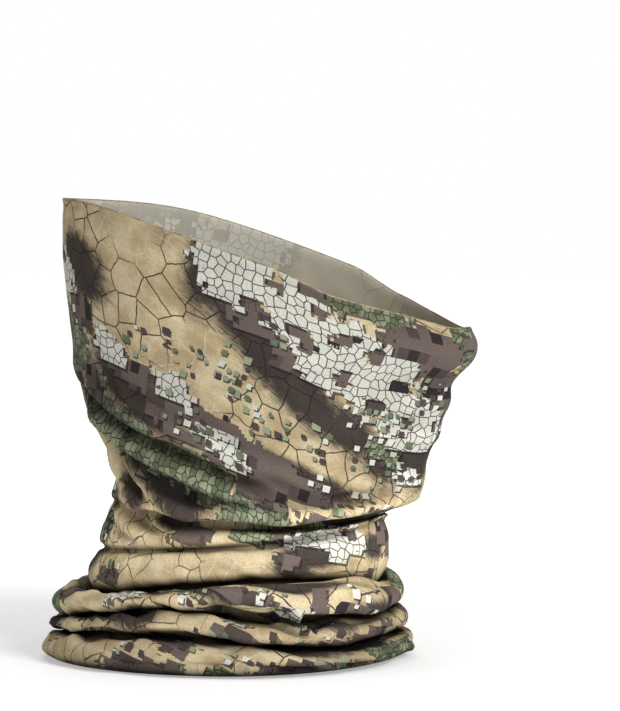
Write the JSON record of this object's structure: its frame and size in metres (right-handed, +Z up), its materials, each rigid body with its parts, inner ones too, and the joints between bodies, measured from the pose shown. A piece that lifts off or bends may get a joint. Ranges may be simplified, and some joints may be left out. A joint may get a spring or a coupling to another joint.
{
  "type": "camouflage face mask",
  "caption": "Stretch-knit camouflage tube worn as a face mask over the nose, face and neck, with its lower end gathered into a soft collar that draws up.",
  "frame": {"origin": "centre of the bounding box's bottom face, on the surface that the collar rests on", "axes": "+Z up through the head opening, -Y the way the wearer's face looks, +X the wearer's left"},
  "size_m": [0.1896, 0.23, 0.2374],
  "materials": {
    "camo_knit": "matte",
    "cut_edge": "matte",
    "seam_thread": "matte"
  },
  "bodies": {
    "collar_base": {"collar_roll_lower": "camo_knit", "tucked_lower_end": "camo_knit"},
    "roll_middle": {"collar_roll_middle": "camo_knit"},
    "roll_upper": {"collar_roll_upper": "camo_knit"},
    "neck_and_face": {"neck_band": "camo_knit", "throat_band": "camo_knit", "jaw_tuck": "camo_knit", "chin_cover": "camo_knit", "face_cover": "camo_knit", "back_seam": "seam_thread"},
    "upper_edge": {"upper_edge_band": "cut_edge"}
  },
  "joints": [
    {"name": "middle_roll_draw", "type": "slide", "parent": "collar_base", "child": "roll_middle", "axis": [0, 0, 1], "range_m": [0, 0.012]},
    {"name": "upper_roll_draw", "type": "slide", "parent": "roll_middle", "child": "roll_upper", "axis": [0, 0, 1], "range_m": [0, 0.012]},
    {"name": "collar_draw_up", "type": "slide", "parent": "roll_upper", "child": "neck_and_face", "axis": [0, 0, 1], "range_m": [0, 0.012]},
    {"name": "face_pull_down", "type": "hinge", "parent": "neck_and_face", "child": "upper_edge", "pos_m": [0, 0.103, 0.24], "axis": [1, 0, 0], "range_deg": [0, 18], "deforming": ["face_cover", "chin_cover"]}
  ],
  "couplings": [
    {"joint": "middle_roll_draw", "follows": "collar_draw_up", "ratio": 1},
    {"joint": "upper_roll_draw", "follows": "collar_draw_up", "ratio": 1}
  ]
}
